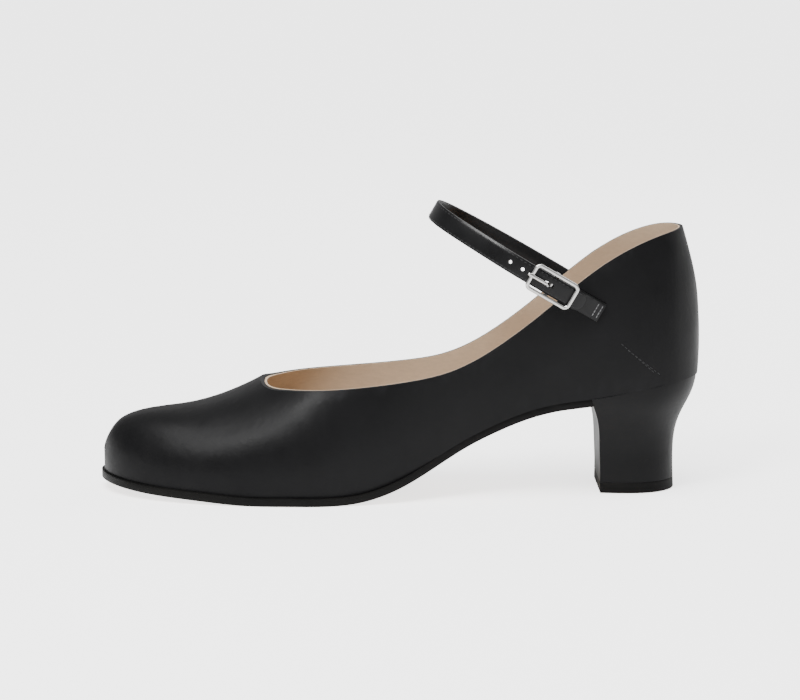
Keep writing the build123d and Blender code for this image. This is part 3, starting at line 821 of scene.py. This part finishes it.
def make_buckle():
    """Cast frame with round rails and a centre bar, nickel plated."""
    bar, along, out, ends = buckle_place()
    length = ends[0][1] - ends[0][0]
    width = ends[1][1] - ends[1][0]
    rail_w, rail_t = 1.6 * mm, 1.5 * mm
    drop_selection()
    bpy.ops.mesh.primitive_plane_add(size=1.0)
    ring = bpy.context.object
    ring.name = "buckle_rails"
    ring.scale = (length, width, 1)
    settle(ring)
    edit_mode(ring, "VERT")
    bpy.ops.mesh.select_all(action="SELECT")
    bpy.ops.mesh.bevel(offset=2.6 * mm, segments=7, affect="VERTICES")
    object_mode()
    choose(ring, "FACE", lambda f: True)
    bpy.ops.mesh.inset(thickness=rail_w, depth=0)
    bpy.ops.mesh.delete(type="FACE")
    bpy.ops.mesh.select_all(action="SELECT")
    bpy.ops.mesh.extrude_region_move(TRANSFORM_OT_translate={"value": (0, 0, rail_t)})
    bpy.ops.mesh.select_all(action="SELECT")
    bpy.ops.mesh.normals_make_consistent(inside=False)
    object_mode()
    round_edges(ring, 0.62 * mm, 4, sharper=60.0)
    ring.location = (0, 0, ends[2][1] - rail_t)
    settle(ring)
    parts = [ring]
    for side in (1, -1):
        middle = (0, side * (width - rail_w) / 2, (ends[2][1] - rail_t) / 2)
        bpy.ops.mesh.primitive_cube_add(size=1.0, location=middle)
        lug = bpy.context.object
        lug.scale = (2.2 * mm, rail_w * 0.9, ends[2][1] - rail_t + 1.2 * mm)
        settle(lug)
        round_edges(lug, 0.4 * mm, 3)
        parts.append(lug)
    drop_selection()
    bpy.ops.mesh.primitive_cylinder_add(vertices=24, radius=0.8 * mm, depth=width - 0.8 * mm,
                                        rotation=(math.pi / 2, 0, 0))
    rod = bpy.context.object
    settle(rod)
    round_edges(rod, 0.2 * mm, 2)
    parts.append(rod)
    drop_selection()
    for part in parts:
        part.select_set(True)
    bpy.context.view_layer.objects.active = ring
    bpy.ops.object.join()
    ring.matrix_world = Matrix.Translation(bar) @ Matrix((along, across, out)).transposed().to_4x4()
    settle(ring)
    edit_mode(ring)
    bpy.ops.mesh.select_all(action="SELECT")
    bpy.ops.mesh.normals_make_consistent(inside=False)
    object_mode()
    finish_piece(ring, "buckle", nickel, 45)
    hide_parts("buckle_frame")


make_upper()
make_lining()
make_sock()
make_outsole()
make_heel()
make_strap()
make_chape()
make_buckle()
sew_topline()
sew_rear_quarter()


# ---- floor, lights and camera -----------------------------------------------------------------------
FLOOR_GLOW = 2.2         # the sweep looks lit from behind, without lighting the shoe


def studio():
    drop_selection()
    bpy.ops.mesh.primitive_plane_add(size=40.0, location=(0, 0, -0.2 * mm))
    floor = bpy.context.object
    floor.name = "floor"
    settle(floor)
    paint, tree, shader = new_material("floor paint", (0.92, 0.92, 0.92), 0.9)
    shader.inputs["Specular IOR Level"].default_value = 0.1
    shader.inputs["Emission Color"].default_value = (1.0, 1.0, 1.0, 1.0)
    seen = tree.nodes.new("ShaderNodeLightPath").outputs["Is Camera Ray"]
    tree.links.new(math_node(tree, "MULTIPLY", seen, FLOOR_GLOW), shader.inputs["Emission Strength"])
    floor.data.materials.append(paint)
    world = bpy.data.worlds.new("studio")
    bpy.context.scene.world = world
    world.use_nodes = True
    sky = world.node_tree.nodes["Background"]
    sky.inputs["Color"].default_value = (1.0, 1.0, 1.0, 1.0)
    sky.inputs["Strength"].default_value = 0.4

    def aim_at(light, place, aim):
        light.rotation_mode = "QUATERNION"
        light.rotation_quaternion = (Vector(aim) - Vector(place)).to_track_quat("-Z", "Y")

    def lamp(name, place, aim, size, power):
        drop_selection()
        bpy.ops.object.light_add(type="AREA", location=place)
        light = bpy.context.object
        light.name = name
        light.data.shape = "RECTANGLE"
        light.data.size, light.data.size_y = size
        light.data.energy = power
        aim_at(light, place, aim)

    aim = (0.1, 0.0, 0.05)
    drop_selection()
    bpy.ops.object.light_add(type="SUN", location=(0.3, 1.0, 2.0))
    sun = bpy.context.object
    sun.name = "overhead"
    sun.data.energy = 3.3
    sun.data.angle = math.radians(40)
    aim_at(sun, (0.25, 0.5, 2.0), (0.1, 0.0, 0.0))
    lamp("key", (0.5, 0.7, 0.9), aim, (0.3, 0.4), 9)
    lamp("rim", (-0.5, -0.8, 0.7), aim, (0.8, 0.5), 3)

    drop_selection()
    azimuth, elevation, distance = math.radians(179.0), math.radians(9.5), 1.3
    back = Vector((math.sin(azimuth) * math.cos(elevation), -math.cos(azimuth) * math.cos(elevation),
                   math.sin(elevation)))
    target = Vector((0.099, 0.0, 0.058))
    bpy.ops.object.camera_add(location=target + back * distance)
    camera = bpy.context.object
    camera.rotation_mode = "QUATERNION"
    camera.rotation_quaternion = (-back).to_track_quat("-Z", "Y")
    camera.data.lens = 140
    camera.data.sensor_width = 36
    bpy.context.scene.camera = camera


studio()
bpy.context.view_layer.update()
